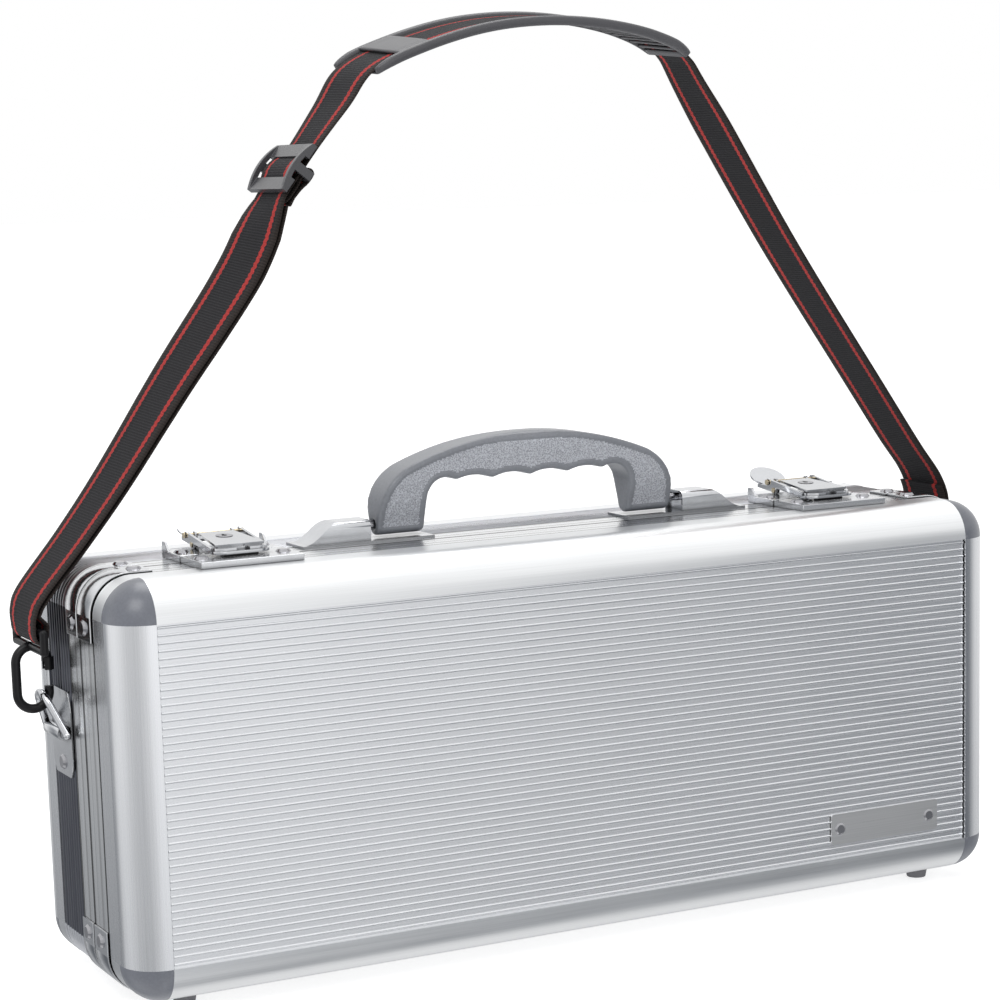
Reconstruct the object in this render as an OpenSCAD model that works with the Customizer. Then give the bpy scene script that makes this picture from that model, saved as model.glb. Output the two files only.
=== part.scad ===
// Aluminium carry case with hinged lid, key latches, folding handle and shoulder strap, in mm
// X runs along the case, -Y is the lid side, +Z is up, origin under the middle of the case

/* [Case] */

// overall length of the shell
case_l = 434; // [380:1:500]
// overall height of the shell without feet
case_h = 178; // [150:1:220]
// overall depth of the shell
case_d = 120; // [100:1:160]
// radius of the rounded edge trims and corner caps
edge_r = 17; // [14:0.5:22]
// wall thickness of the trims and corner caps
trim_t = 1.6; // [1.2:0.1:2.4]
// depth of the lid's trims
lid_trim_d = 30; // [26:1:40]
// depth of the lid's frame rail behind its trims
lid_rail_d = 19; // [14:0.5:24]
// depth of the body's frame rail
body_rail_d = 15; // [10:0.5:18]
// depth of the rear trims
rear_trim_d = 28; // [24:1:40]
// number of ribs on the front and back panels
panel_ribs = 45; // [20:1:60]
// width of one rib pitch on the narrow panels
side_rib_pitch = 3.2; // [2:0.1:5]
// height of a foot
foot_h = 5; // [4:0.5:8]
// radius of a foot
foot_r = 5.5; // [4:0.5:9]

/* [Handle] */

// overall length of the grip
handle_l = 150; // [120:1:180]
// height of the grip above its pivots
handle_rise = 37; // [30:1:50]
// thickness of the grip front to back
handle_t = 19; // [15:0.5:24]
// width of each grip leg
handle_leg = 23.5; // [18:0.5:30]
// height of the grip's pivots above the frame
pivot_h = 6.8; // [6.5:0.1:9]

/* [Latches] */

// width of a latch base and its catch
latch_w = 46; // [40:1:56]
// width of the latch lever
lever_w = 18; // [14:1:22]
// height of the pressed base and catch trays
tray_h = 3; // [2.4:0.1:3.5]
// distance between the lever's pivot and the bail's pivot
toggle_r = 4.2; // [3.8:0.1:5]
// radius of the lock cylinder
lock_r = 3.7; // [2.5:0.1:4]

/* [Strap] */

// width of the webbing
strap_w = 35; // [28:1:40]
// thickness of the webbing
strap_t = 1.4; // [1:0.1:2.2]
// rise of the strap above the hook bars
strap_rise = 252; // [220:0.5:280]
// width of the shoulder pad
pad_w = 46; // [44:1:60]
// thickness of the shoulder pad
pad_t = 3; // [2:0.5:8]
// wire radius of the rings
ring_wire = 1.7; // [1.3:0.1:2.2]
// wire radius of the snap hooks
hook_wire = 2; // [1.6:0.1:2.4]

/* [Hidden] */

$fn = 64;
hx = case_l / 2 - edge_r;
hz = case_h / 2 - edge_r;
zc = foot_h + case_h / 2;
front_y = -case_d / 2;
seam_u = lid_trim_d + lid_rail_d;
seam_y = front_y + seam_u;
seam_half = 0.2;
rear_u = case_d - rear_trim_d;
inner_r = edge_r - trim_t;
rail_v = edge_r - 0.2;
rail_top = zc + hz + rail_v;
side_x = hx + rail_v;
edge_gap = 0.2;
run_fit = 0.05;
clear = 0.3;

panel_u = 1;
panel_t = 2.7;
panel_back = panel_u + panel_t;
rib_deep = 0.5;
rib_r = 0.6;
lip_w = 5;
web_t = 1.2;
web_end = panel_back + web_t;
lining_v = 8;
lining_t = 1.8;
rail_in = 13;
tongue_u = lid_trim_d - 11;
groove_u = lid_trim_d + 1.2;
channel_in = 11.4;
channel_t = 1.5;
channel_web = 4.3;
sheet_in = channel_in + channel_t;
sheet_lap = 6;
sheet_top = rail_v - 0.4;

plate_t = 1;
cap_d = 19;
end_slit = 0.6;
corner_leg = 10.5;
rivet_r = 3.4;
rivet_h = 1;
shank_r = 1.3;
rivet_in = 5.5;

lid_bracket_u = groove_u + 0.5;
lid_bracket_w = seam_u - 0.7 - lid_bracket_u;
body_bracket_u = seam_u + 0.7;
body_bracket_w = body_rail_d - 1.2;
plate_l = 60;
plate_h = 14.5;
plate_x = hx - 46;
plate_z = zc - hz + 14;

hinge_x = case_l * 0.3;
hinge_l = 40;
knuckle_r = 1.9;
hinge_pin_r = 1;
body_leaf_w = 12;
lid_leaf_w = 14;
hinge_z = foot_h - knuckle_r;
leaf_t = 1;

handle_shift = -6.5;
handle_y = front_y + (seam_u + rear_u) / 2 + handle_shift;
pivot_z = rail_top + pivot_h;
strip_t = 1;
strip_w = 20;
grip_end_w = 10;
handle_pin_r = 1.8;
grip_out = handle_l / 2;
grip_in = grip_out - handle_leg;
hood_wall = 1;
pin_deep = 16;
pin_head_t = 1.2;
pin_lip = 0.3;
hood_h = pivot_h + handle_pin_r + pin_lip + 0.1 + hood_wall;
hood_inset = 2;
hood_round = 3;
hood_share = 0.51;
hood_x = grip_out + 4.5;
cheek_x = hood_x + 1.5;
latch_gap = 18.5;
bracket_gap = 12.5;
latch_x = hx - corner_leg - latch_gap - latch_w / 2;
bracket_end = latch_x - latch_w / 2 - bracket_gap;
hood_top_end = grip_out + hood_share * (bracket_end - grip_out);
hood_foot_end = bracket_end - 1.5;
arch_r = 160;
shoulder_r = 25;
scallop_pitch = 19;
scallop_r = 23.6;
groove_top = 19.2;

base_len = 22;
catch_len = 25;
lever_y = 19;
lever_h = tray_h + 1.8;
toggle_lean = 16.7;
pin_back = toggle_r * sin(toggle_lean);
pin_up = toggle_r * cos(toggle_lean);
lever_len = 16.8;
lever_top = 1.5;
tab_tilt = 25;
tab_r = 8.75;
tab_reach = 6.5;
wall_t = 1;
ear_gap = 0.2;
ear_t = 1.2;
cheek_in = lever_w / 2 - wall_t;
ear_x = lever_w / 2 + ear_gap;
latch_pin_r = 0.8;
boss_r = 1.5;
rivet_y = 11;
stop_len = 7;
stop_h = 4;
cover_y = -10.6;
cover_h = 6.7;
cover_len = 28;
cover_tilt = 3.9;
cover_front = 11;
cover_back = 8;
lock_at = 18;
lock_low = 2.4;
bail_in = ear_x + ear_t + 1.2;
bail_bar = 1.4;
nose_y = -15.5;
nose_back = -8;
nose_layer = 1.2;
nose_r = 5;
lip_h = 0.7;
lip_t = 1.2;
lip_y = -12.4;

ring_y = front_y + (seam_u + body_rail_d + rear_u) / 2;
ring_drop = 71.3;
ring_z = rail_top - ring_drop;
barrel_r = ring_wire + 1.3;
barrel_up = barrel_r + 0.1;
barrel_l = 20;
ring_base_x = side_x + barrel_up;
mount_high = 18;
mount_low = 19.5;
mount_rivet = 14;
ring_lean = 20.4;
ring_half = 14;
wire_step = 0.05;
ring_bend = 8;
ring_up = 18.3;
ring_top_x = ring_base_x + ring_up * sin(ring_lean);
ring_top_z = ring_z + ring_up * cos(ring_lean);
hook_bend = 7;
hook_x = ring_top_x - ring_wire - clear - hook_wire + hook_bend;
hook_low_z = ring_top_z + 0.4;
hook_leg = 13;
hook_eye_h = 8;
hook_high_z = hook_low_z + hook_leg;
shoulder_z = hook_high_z + hook_bend;
crossbar_z = shoulder_z + hook_eye_h;
crossbar_r = 1.8;
loop_half = strap_w / 2 + 2;
gate_r = 1.5;
gate_l = 8.4;
gate_lap = 2;
gate_z = hook_low_z + hook_leg - gate_lap;
gate_tip_z = gate_z - gate_l;
gate_w = 2.8;
sleeve_r = 2.6;
gate_pin_r = 0.6;

// strap centreline from the left hook to the right hook, height measured from the hook bars
strap_ref_x = 229.4;
strap_ref_rise = 252;
strap_points = [
    [-232.2, 0], [-231.8, 7], [-227.5, 15.5], [-207, 37], [-186, 61], [-155, 100.5], [-128, 144],
    [-113, 174], [-103.5, 187], [-82, 214], [-69, 230.5], [-45, 241], [-15, 249], [15, 252],
    [45, 250.5], [72, 245], [90, 236], [104, 217.5], [150, 147], [200, 76], [219, 48.5], [231, 31],
    [235, 17], [232.2, 0]
];
steps = 4;
kx = hook_x / strap_ref_x;
kz = strap_rise / strap_ref_rise;
route = smooth([for (p = strap_points) [p[0] * kx, crossbar_z + p[1] * kz]], steps);
slider_at = 8 * steps;
pad_from = 10 * steps - 1;
pad_to = 16 * steps;
slider_mid = route[slider_at];
slider_turn = atan2(route[slider_at + 2][1] - route[slider_at - 2][1],
    route[slider_at + 2][0] - route[slider_at - 2][0]);
end_len = 4;
fold_r = crossbar_r + 0.3;
fold_step = strap_t + 0.5;
left_return = [for (i = [end_len : 7 * steps]) beside(route, i, -fold_step)];
right_end = len(route) - 1;
right_return = [for (i = [right_end - end_len : -1 : right_end - 2 * steps]) beside(route, i, -fold_step)];
slider_len = 24;
slider_bar = 4;
slider_end = 6.5;
slider_t = 2.4;
slider_half = strap_w / 2 + 3;
slider_side = 2.5;
slider_gap = 0.8;
slider_drop = 4.2;
bow = 2.6;

silver = [0.8, 0.81, 0.83];
bright = [0.88, 0.88, 0.9];
grey = [0.36, 0.38, 0.41];
dark = [0.12, 0.12, 0.13];
cloth = [0.09, 0.09, 0.1];
brass = [0.75, 0.62, 0.35];

// smooth curve through the hand-chosen points
function curve(a, b, c, d, t) = 0.5 * (2 * b + (c - a) * t + (2 * a - 5 * b + 4 * c - d) * t * t
    + (3 * b - a - 3 * c + d) * t * t * t);
function smooth(p, n) = concat([for (i = [0 : len(p) - 2]) for (j = [0 : n - 1])
    curve(p[max(i - 1, 0)], p[i], p[i + 1], p[min(i + 2, len(p) - 1)], j / n)], [p[len(p) - 1]]);
function ahead(p, i) = p[min(i + 1, len(p) - 1)] - p[max(i - 1, 0)];
function beside(p, i, d) = p[i] + d * [-ahead(p, i)[1], ahead(p, i)[0]] / norm(ahead(p, i));
function band(p, low, high) = concat([for (i = [0 : len(p) - 1]) beside(p, i, high)],
    [for (i = [len(p) - 1 : -1 : 0]) beside(p, i, low)]);
function part_of(p, from, to) = [for (i = [from : to]) p[i]];

// plan view of the shell, x along the case, y downward, z into its depth
module plan() {
    translate([0, front_y, zc]) rotate([-90, 0, 0]) children();
}

// an extrusion of a (outward, depth) profile along the bottom edge
module straight_long(half) {
    translate([-half, hz, 0]) rotate([90, 0, 90]) linear_extrude(2 * half) children();
}

// the same along the right edge
module straight_short(half) {
    translate([hx, half, 0]) rotate([90, 0, 0]) linear_extrude(2 * half) children();
}

// a bottom piece bent round both corners
module bent(half, rise, sweep) {
    translate([-half, rise, 0]) rotate([90, 0, 90]) linear_extrude(2 * half) children();
    translate([half, rise, 0]) rotate([0, 0, 90 - sweep]) rotate_extrude(angle = sweep) children();
    translate([-half, rise, 0]) rotate([0, 0, 90]) rotate_extrude(angle = sweep) children();
}

// bottom piece of a frame mitred in its corners
module bent_long() {
    bent(hx, hz, 45) children();
}

// right piece of such a frame
module bent_short() {
    rotate([0, 0, -90]) bent(hz, hx, 45) children();
}

module pair() {
    children();
    rotate([0, 0, 180]) children();
}

module four_corners() {
    for (i = [0, 1]) for (j = [0, 1]) mirror([i, 0, 0]) mirror([0, j, 0]) children();
}

// quarter round trim with a flat skirt
module trim_outline(depth) {
    intersection() {
        difference() {
            translate([0, edge_r]) circle(edge_r);
            translate([0, edge_r]) circle(inner_r);
        }
        square(edge_r);
    }
    translate([inner_r, edge_r]) square([trim_t, depth - edge_r]);
    translate([0, panel_back]) square([lining_v + 1, web_t]);
    translate([0, panel_u]) square([web_t, panel_back - panel_u + web_t]);
}

module trim_lip() {
    translate([-lip_w, panel_back]) square([lip_w, web_t]);
}

// the long trims' skirts run on round the corners behind the caps
module trims_long_set(depth) {
    pair() union() {
        straight_long(hx) trim_outline(depth);
        straight_long(hx) trim_lip();
        for (side = [0, 1]) mirror([side, 0, 0]) translate([hx, hz, 0]) rotate_extrude(angle = 90)
            translate([inner_r, cap_d]) square([trim_t, depth - cap_d]);
    }
}

module trims_short_set(depth) {
    pair() union() {
        straight_short(hz) trim_outline(depth);
        straight_short(hz - lip_w) trim_lip();
    }
}

module corner_cap() {
    translate([hx, hz, 0]) intersection() {
        difference() {
            union() {
                translate([0, 0, edge_r]) sphere(edge_r);
                translate([0, 0, edge_r]) cylinder(r = edge_r, h = cap_d - edge_r);
            }
            translate([0, 0, edge_r]) sphere(inner_r);
            translate([0, 0, edge_r]) cylinder(r = inner_r, h = cap_d);
        }
        cube([edge_r + 1, edge_r + 1, cap_d]);
    }
}

// sheet with long round ribs, rib tops at panel_u
module ribbed_sheet() {
    pitch = 2 * hz / panel_ribs;
    translate([end_slit - hx, 0, 0]) rotate([90, 0, 90]) linear_extrude(2 * (hx - end_slit)) {
        translate([-hz, panel_u + rib_deep]) square([2 * hz, panel_t - rib_deep]);
        for (i = [0 : panel_ribs - 1]) translate([-hz + (i + 0.5) * pitch, panel_u + rib_r])
            circle(rib_r, $fn = 24);
    }
}

module from_back() {
    translate([0, 0, case_d]) mirror([0, 0, 1]) children();
}

module rounded_square(half_l, half_h, r) {
    difference() {
        square([2 * half_l, 2 * half_h], center = true);
        four_corners() translate([half_l - r, half_h - r]) difference() {
            square(2 * r);
            circle(r);
        }
    }
}

module rounded_slab(v, r, t) {
    linear_extrude(t) rounded_square(hx + v, hz + v, r);
}

module lining_tray(deep) {
    difference() {
        translate([0, 0, web_end]) rounded_slab(lining_v, lining_v, deep - web_end);
        translate([0, 0, web_end + lining_t])
            rounded_slab(lining_v - lining_t, lining_v - lining_t, deep);
    }
}

module lid_rail_outline() {
    translate([rail_in, tongue_u]) square([inner_r - rail_in, groove_u - tongue_u]);
    translate([rail_in, groove_u]) square([rail_v - rail_in, seam_u - seam_half - groove_u]);
}

module body_rail_outline() {
    start = seam_u + seam_half;
    translate([channel_in, start]) square([rail_v - channel_in, channel_web]);
    translate([inner_r, start]) square([rail_v - inner_r, body_rail_d - seam_half]);
    translate([channel_in, start]) square([channel_t, body_rail_d - seam_half]);
}

// narrow sheet held in the body rail and under the rear trim
module sheet_outline() {
    edge = seam_u + seam_half + channel_web;
    face = seam_u + body_rail_d + edge_gap;
    face_d = rear_u - edge_gap - face;
    ribs = floor(face_d / side_rib_pitch);
    margin = (face_d - (ribs - 0.5) * side_rib_pitch) / 2;
    translate([sheet_in, edge]) square([inner_r - sheet_in, rear_u + sheet_lap - edge]);
    translate([sheet_in, face]) square([sheet_top - sheet_in, face_d]);
    rise = rail_v - sheet_top;
    for (i = [0 : ribs - 1]) translate([sheet_top, face + margin + i * side_rib_pitch]) polygon([
        [-rise, 0], [0, 0], [rise, side_rib_pitch / 8], [rise, side_rib_pitch * 3 / 8],
        [0, side_rib_pitch / 2], [-rise, side_rib_pitch / 2]
    ]);
}

module corner_bracket(from, wide) {
    translate([hx, hz, from]) {
        rotate_extrude(angle = 90) translate([rail_v, 0]) square([plate_t, wide]);
        translate([-corner_leg, rail_v, 0]) cube([corner_leg, plate_t, wide]);
        translate([rail_v, -corner_leg, 0]) cube([plate_t, corner_leg, wide]);
    }
}

module corner_rivets(mid) {
    translate([hx, hz, mid]) {
        translate([rivet_in - corner_leg, rail_v + plate_t, 0]) rotate([-90, 0, 0]) rivet_head();
        translate([rail_v + plate_t, rivet_in - corner_leg, 0]) rotate([0, 90, 0]) rivet_head();
    }
}

module rivet_head() {
    cylinder(r1 = rivet_r, r2 = rivet_r - 0.9, h = rivet_h);
}

module foot(y) {
    for (side = [-1, 1]) translate([side * (hx - 12), y, 0])
        cylinder(r1 = foot_r - 1, r2 = foot_r, h = foot_h);
}

module hinge_sites() {
    for (side = [-1, 1]) translate([side * hinge_x, seam_y, hinge_z]) children();
}

module knuckle(from, long) {
    translate([from, 0, 0]) rotate([0, 90, 0]) difference() {
        cylinder(r = knuckle_r, h = long);
        translate([0, 0, -1]) cylinder(r = hinge_pin_r + run_fit, h = long + 2);
    }
}

// leaf under a frame rail, side 1 toward the back and -1 toward the front
module hinge_leaf(side, out) {
    low = foot_h + edge_gap - leaf_t - hinge_z;
    near = knuckle_r + 0.4;
    translate([-hinge_l / 2, side > 0 ? near : -out, low]) cube([hinge_l, out - near, leaf_t]);
}

module leaf_tie(side, from, long) {
    low = foot_h + edge_gap - leaf_t - hinge_z;
    near = knuckle_r + 0.5;
    difference() {
        translate([from, side > 0 ? 0 : -near, low]) cube([long, near, leaf_t]);
        translate([from - 1, 0, 0]) rotate([0, 90, 0])
            cylinder(r = hinge_pin_r + run_fit, h = long + 2);
    }
}

module back_panel() {
    color(silver) plan() from_back() ribbed_sheet();
}

module bottom_panel() {
    color(silver) plan() bent(hx, hz, 90) sheet_outline();
}

module top_panel() {
    color(silver) plan() rotate([0, 0, 180]) bent(hx, hz, 90) sheet_outline();
}

module right_panel() {
    color(silver) plan() straight_short(hz) sheet_outline();
}

module left_panel() {
    color(silver) plan() rotate([0, 0, 180]) straight_short(hz) sheet_outline();
}

module rear_trims_long() {
    color(silver) plan() from_back() trims_long_set(rear_trim_d);
}

module rear_trims_short() {
    color(silver) plan() from_back() trims_short_set(rear_trim_d);
}

module rear_corner_caps() {
    color(grey) plan() from_back() four_corners() corner_cap();
}

module body_rails_long() {
    color(bright) plan() pair() bent_long() body_rail_outline();
}

module body_rails_short() {
    color(bright) plan() pair() bent_short() body_rail_outline();
}

module body_corner_brackets() {
    color(bright) plan() four_corners() corner_bracket(body_bracket_u, body_bracket_w);
}

module body_lining() {
    color(dark) plan() from_back() lining_tray(case_d - seam_u - 0.6);
}

module body_feet() {
    color(grey) foot(case_d / 2 - rear_trim_d + 5);
}

module body_hinge_leaves() {
    color(bright) hinge_sites() {
        hinge_leaf(1, body_leaf_w);
        for (i = [0, 2]) {
            knuckle(-hinge_l / 2 + i * hinge_l / 3, hinge_l / 3 - clear);
            leaf_tie(1, -hinge_l / 2 + i * hinge_l / 3, hinge_l / 3 - clear);
        }
    }
}

module hinge_pins() {
    color(bright) hinge_sites() translate([-hinge_l / 2 - 0.6, 0, 0]) rotate([0, 90, 0]) {
        cylinder(r = hinge_pin_r, h = hinge_l + 1.2);
        cylinder(r = hinge_pin_r + 0.5, h = 0.6);
    }
}

// stamped bracket with a flat strip and a folded hood, drawn for the right side
module handle_bracket() {
    translate([grip_in - hood_inset, -strip_w / 2, 0])
        cube([bracket_end - grip_in + hood_inset, strip_w, strip_t]);
    difference() {
        hood_form(hood_x, 0);
        hood_form(cheek_x + hood_wall, hood_wall);
        intersection() {
            hood_form(hood_x - 1, hood_wall);
            translate([0, -strip_w, strip_t]) cube([cheek_x, 2 * strip_w, hood_h]);
        }
        translate([hood_x, 0, pivot_h]) rotate([0, 90, 0]) cylinder(r = handle_pin_r, h = 3 * hood_wall + 2);
    }
}

function hood_line(t) = strip_t + (hood_h - strip_t) * (1 + cos(180 * t)) / 2;

// hood with a swept end and rounded long edges, or the hollow in it
module hood_form(from, inset) {
    half = strip_w / 2 - hood_inset - inset;
    r = hood_round - inset;
    top = hood_h - inset;
    low = inset > 0 ? -1 : strip_t;
    last = inset > 0 ? 0.75 : 1;
    long = hood_foot_end - hood_top_end;
    intersection() {
        translate([0, strip_w, 0]) rotate([90, 0, 0]) linear_extrude(2 * strip_w) polygon(concat(
            [[from, low], [hood_top_end + last * long, low]],
            [for (t = [last : -1 / 12 : -0.01]) [hood_top_end + t * long, hood_line(t) - inset]],
            [[from, hood_h - inset]]));
        translate([from, 0, 0]) rotate([90, 0, 90]) linear_extrude(bracket_end - from) {
            translate([-half, low]) square([2 * half, top - r - low]);
            translate([r - half, low]) square([2 * (half - r), top - low]);
            for (side = [-1, 1]) translate([side * (half - r), top - r]) circle(r);
        }
    }
}

module handle_bracket_right() {
    color(bright) translate([0, handle_y, rail_top]) handle_bracket();
}

module handle_bracket_left() {
    color(bright) translate([0, handle_y, rail_top]) mirror([1, 0, 0]) handle_bracket();
}

module handle_pins() {
    color(bright) for (side = [0, 1]) mirror([side, 0, 0])
        translate([grip_out - pin_deep, handle_y, pivot_z]) rotate([0, 90, 0]) {
            cylinder(r = handle_pin_r, h = pin_deep + cheek_x + hood_wall - grip_out);
            translate([0, 0, pin_deep + cheek_x + hood_wall - grip_out])
                cylinder(r = handle_pin_r + pin_lip, h = pin_head_t);
        }
}

// pressed tray open below, from y to y + long
module tray(y, long) {
    difference() {
        translate([-latch_w / 2, y, 0]) cube([latch_w, long, tray_h]);
        translate([plate_t - latch_w / 2, y + plate_t, -1])
            cube([latch_w - 2 * plate_t, long - 2 * plate_t, tray_h - plate_t + 1]);
    }
}

// base tray with ears for the lever's pivots and an upright stop at each back corner
module latch_base() {
    tray(0.6, base_len);
    for (side = [0, 1]) mirror([side, 0, 0]) {
        difference() {
            union() {
                translate([ear_x, lever_y - boss_r, tray_h - 0.2])
                    cube([ear_t, 2 * boss_r, lever_h - tray_h + 0.2]);
                translate([ear_x, lever_y, lever_h]) rotate([0, 90, 0])
                    cylinder(r = boss_r, h = ear_t);
            }
            translate([ear_x - 1, lever_y, lever_h]) rotate([0, 90, 0])
                cylinder(r = latch_pin_r, h = ear_t + 2);
        }
        translate([latch_w / 2 - ear_t, base_len + 0.6 - stop_len, tray_h - 0.2])
            rotate([90, 0, 90]) linear_extrude(ear_t)
                polygon([[0, 0], [stop_len, 0], [stop_len, stop_h], [stop_len / 2, stop_h]]);
    }
}

module at_latch(side) {
    translate([side * latch_x, seam_y, rail_top]) children();
}

module latch_base_left() {
    color(bright) at_latch(-1) latch_base();
}

module latch_base_right() {
    color(bright) at_latch(1) latch_base();
}

module latch_pivot_pins() {
    color(brass) for (side = [-1, 1]) at_latch(side) for (end = [0, 1]) mirror([end, 0, 0])
        translate([cheek_in - 0.4, lever_y, lever_h]) rotate([0, 90, 0]) {
            cylinder(r = latch_pin_r, h = ear_x + ear_t + 0.4 - cheek_in);
            translate([0, 0, ear_x + ear_t + 0.4 - cheek_in]) cylinder(r = latch_pin_r + 0.5, h = 0.6);
        }
}

module ring_bracket() {
    half = (rear_u - seam_u - body_rail_d) / 2 - 1;
    end = half * 2 / 3;
    difference() {
        translate([0, -half, end - mount_low]) cube([plate_t, 2 * half, mount_low + mount_high - 2 * end]);
        translate([-1, 0, -mount_rivet]) rotate([0, 90, 0]) cylinder(r = shank_r, h = plate_t + 2);
    }
    for (z = [end - mount_low, mount_high - end]) translate([0, 0, z]) rotate([0, 90, 0])
        linear_extrude(plate_t) intersection() {
            circle(half);
            square([2 * end, 2 * half], center = true);
        }
    translate([barrel_up, barrel_l / 2, 0]) rotate([90, 0, 0]) difference() {
        cylinder(r = barrel_r, h = barrel_l);
        translate([0, 0, -1]) cylinder(r = ring_wire + run_fit, h = barrel_l + 2);
    }
}

module ring_bracket_right() {
    color(bright) translate([side_x, ring_y, ring_z]) ring_bracket();
}

module ring_bracket_left() {
    color(bright) mirror([1, 0, 0]) translate([side_x, ring_y, ring_z]) ring_bracket();
}

module body_rivets() {
    color(bright) {
        plan() four_corners() corner_rivets(body_bracket_u + body_bracket_w / 2);
        for (side = [0, 1]) mirror([side, 0, 0]) {
            translate([side_x + plate_t, ring_y, ring_z - mount_rivet]) rotate([0, 90, 0]) rivet_head();
        }
        for (side = [-1, 1]) at_latch(side) for (x = [-1, 1])
            translate([x * (latch_w / 2 - 4.5), rivet_y, tray_h]) rivet_head();
    }
}

module front_panel() {
    color(silver) plan() ribbed_sheet();
}

module front_trims_long() {
    color(silver) plan() trims_long_set(lid_trim_d);
}

module front_trims_short() {
    color(silver) plan() trims_short_set(lid_trim_d);
}

module front_corner_caps() {
    color(grey) plan() four_corners() corner_cap();
}

module lid_rails_long() {
    color(bright) plan() pair() bent_long() lid_rail_outline();
}

module lid_rails_short() {
    color(bright) plan() pair() bent_short() lid_rail_outline();
}

module lid_corner_brackets() {
    color(bright) plan() four_corners() corner_bracket(lid_bracket_u, lid_bracket_w);
}

module lid_lining() {
    color(dark) plan() lining_tray(seam_u - 0.6);
}

module lid_feet() {
    color(grey) foot(front_y + edge_r + foot_r + 0.5);
}

module lid_hinge_leaves() {
    color(bright) hinge_sites() {
        hinge_leaf(-1, lid_leaf_w);
        knuckle(-hinge_l / 6, hinge_l / 3 - clear);
        leaf_tie(-1, -hinge_l / 6, hinge_l / 3 - clear);
    }
}

// catch tray whose front end reaches over the edge trim
module latch_catch() {
    over = catch_len + 0.6 - lid_rail_d + edge_gap;
    difference() {
        tray(-0.6 - catch_len, catch_len);
        translate([-latch_w, -1.6 - catch_len, -1]) cube([2 * latch_w, over + 1, 1.1 + edge_r - rail_v]);
    }
    translate([-latch_w / 6, lip_y, tray_h - 0.2]) cube([latch_w / 3, lip_t, lip_h + 0.2]);
}

module catch_left() {
    color(bright) at_latch(-1) latch_catch();
}

module catch_right() {
    color(bright) at_latch(1) latch_catch();
}

module nameplate() {
    color(bright) translate([plate_x, front_y + panel_u, plate_z]) rotate([90, 0, 0])
        linear_extrude(0.5) rounded_square(plate_l / 2, plate_h / 2, 1.5);
}

module lid_rivets() {
    color(bright) {
        plan() four_corners() corner_rivets(lid_bracket_u + lid_bracket_w / 2);
        for (x = [-1, 1]) translate([plate_x + x * (plate_l / 2 - 5), front_y + panel_u - 0.5, plate_z])
            rotate([90, 0, 0]) cylinder(r1 = 2.8, r2 = 2, h = 0.5);
        for (side = [-1, 1]) at_latch(side) for (x = [-1, 1])
            translate([x * (latch_w / 2 - 4.5), -0.6 - catch_len / 2, tray_h]) rivet_head();
    }
}

// front view of the grip, z measured from the pivots
module grip_outline() {
    top = handle_rise;
    cx = grip_out - shoulder_r;
    cz = top - arch_r + sqrt(pow(arch_r - shoulder_r, 2) - cx * cx);
    touch = cx * arch_r / (arch_r - shoulder_r);
    difference() {
        union() {
            translate([-grip_out, -grip_end_w / 2]) square([2 * grip_out, cz + grip_end_w / 2]);
            for (side = [-1, 1]) translate([side * cx, cz]) circle(shoulder_r);
            intersection() {
                translate([0, top - arch_r]) circle(arch_r, $fn = 180);
                translate([-touch, 0]) square([2 * touch, 2 * top]);
            }
        }
        translate([-grip_in, -top]) square([2 * grip_in, top + groove_top - 9]);
        for (side = [-1, 1]) translate([side * (grip_in - 9), groove_top - 9]) circle(9);
        intersection() {
            translate([9 - grip_in, -top]) square([2 * grip_in - 18, 3 * top]);
            for (i = [-1.5 : 1.5]) translate([i * scallop_pitch, groove_top - scallop_r]) circle(scallop_r);
        }
    }
}

// side view of the grip, narrow round end at the pivots
module grip_side() {
    half = handle_t / 2;
    top = handle_rise;
    round = 6;
    circle(grip_end_w / 2);
    polygon([[-grip_end_w / 2, 0], [grip_end_w / 2, 0], [half - 1, 10], [half, 18], [half, top - round],
        [-half, top - round], [-half, 18], [1 - half, 10]]);
    for (side = [-1, 1]) translate([side * (half - round), top - round]) circle(round);
    translate([round - half, top - round]) square([handle_t - 2 * round, round]);
}

module handle_grip() {
    color(grey) translate([0, handle_y, pivot_z]) difference() {
        intersection() {
            translate([0, handle_t, 0]) rotate([90, 0, 0]) linear_extrude(2 * handle_t) grip_outline();
            translate([-handle_l, 0, 0]) rotate([90, 0, 90]) linear_extrude(2 * handle_l) grip_side();
        }
        for (side = [0, 1]) mirror([side, 0, 0]) translate([grip_out - pin_deep - 1, 0, 0])
            rotate([0, 90, 0]) cylinder(r = handle_pin_r + run_fit, h = pin_deep + 2);
    }
}

// lever in its own frame, pivot at the origin
module lever_frame() {
    translate([0, lever_y, lever_h]) children();
}

module latch_lever() {
    lever_frame() difference() {
        union() {
            for (side = [0, 1]) mirror([side, 0, 0]) translate([cheek_in, 0, 0]) {
                rotate([0, 90, 0]) cylinder(r = boss_r, h = wall_t);
                translate([0, pin_back, pin_up]) rotate([0, 90, 0]) cylinder(r = boss_r, h = wall_t);
                rotate([90, 0, 90]) linear_extrude(wall_t) polygon([
                    [-boss_r, 0.1], [pin_back - boss_r, pin_up], [pin_back + 1, pin_up + 1],
                    [lever_len / 2, lever_top], [lever_len, lever_top], [lever_len, 0], [3, -1.3], [1, -1]
                ]);
            }
            translate([-lever_w / 2, 3, lever_top - plate_t]) cube([lever_w, lever_len - 3, plate_t]);
            translate([0, lever_len - 0.5, lever_top - plate_t]) rotate([tab_tilt, 0, 0])
                translate([0, tab_reach, 0]) cylinder(r = tab_r, h = plate_t);
        }
        translate([-lever_w, 0, 0]) rotate([0, 90, 0]) cylinder(r = latch_pin_r + run_fit, h = 2 * lever_w);
        translate([-lever_w, pin_back, pin_up]) rotate([0, 90, 0])
            cylinder(r = latch_pin_r, h = 2 * lever_w);
    }
}

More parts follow.
